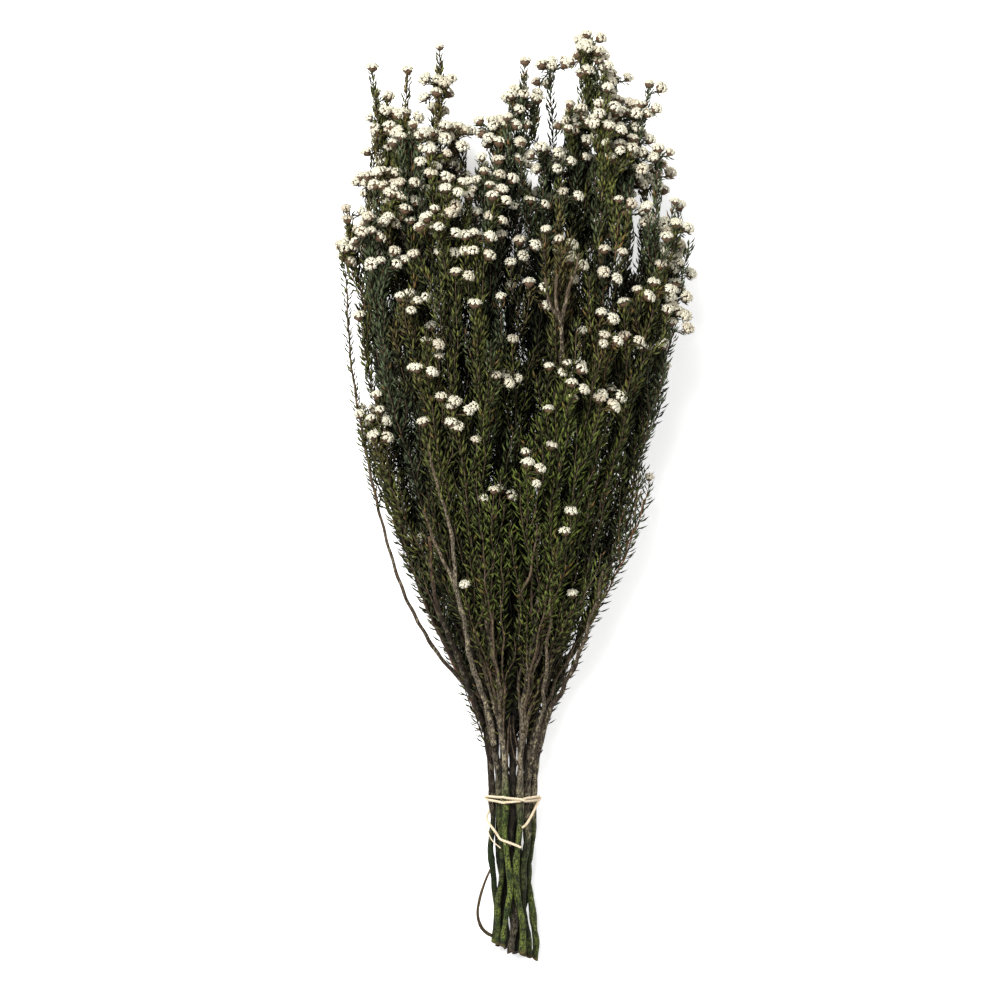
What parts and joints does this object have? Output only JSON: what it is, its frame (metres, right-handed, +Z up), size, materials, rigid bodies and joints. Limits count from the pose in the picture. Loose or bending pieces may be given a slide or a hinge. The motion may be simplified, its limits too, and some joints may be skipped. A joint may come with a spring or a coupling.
{
  "type": "dried phylica bunch",
  "caption": "Dried phylica bunch: slender forked stems tied with twine, fanning out into needle-leaved sprays tipped with small domed cream flower heads.",
  "frame": {"origin": "middle of the bunch's footprint, on the surface that it lies on", "axes": "+Y along the stems from the cut feet towards the flower heads, +Z up from the surface, +X to the right as the picture shows it from above"},
  "size_m": [0.2336, 0.6052, 0.1299],
  "materials": {
    "phylica": "matt dried foliage, bark and flower heads",
    "twine": "matt twisted natural fibre"
  },
  "bodies": {
    "root": {"stem_01": "phylica", "stem_02": "phylica", "stem_03": "phylica", "stem_04": "phylica", "stem_05": "phylica", "stem_06": "phylica", "stem_07": "phylica", "stem_08": "phylica", "stem_09": "phylica", "stem_10": "phylica", "stem_11": "phylica", "stem_12": "phylica", "tie_twine": "twine"}
  },
  "joints": []
}
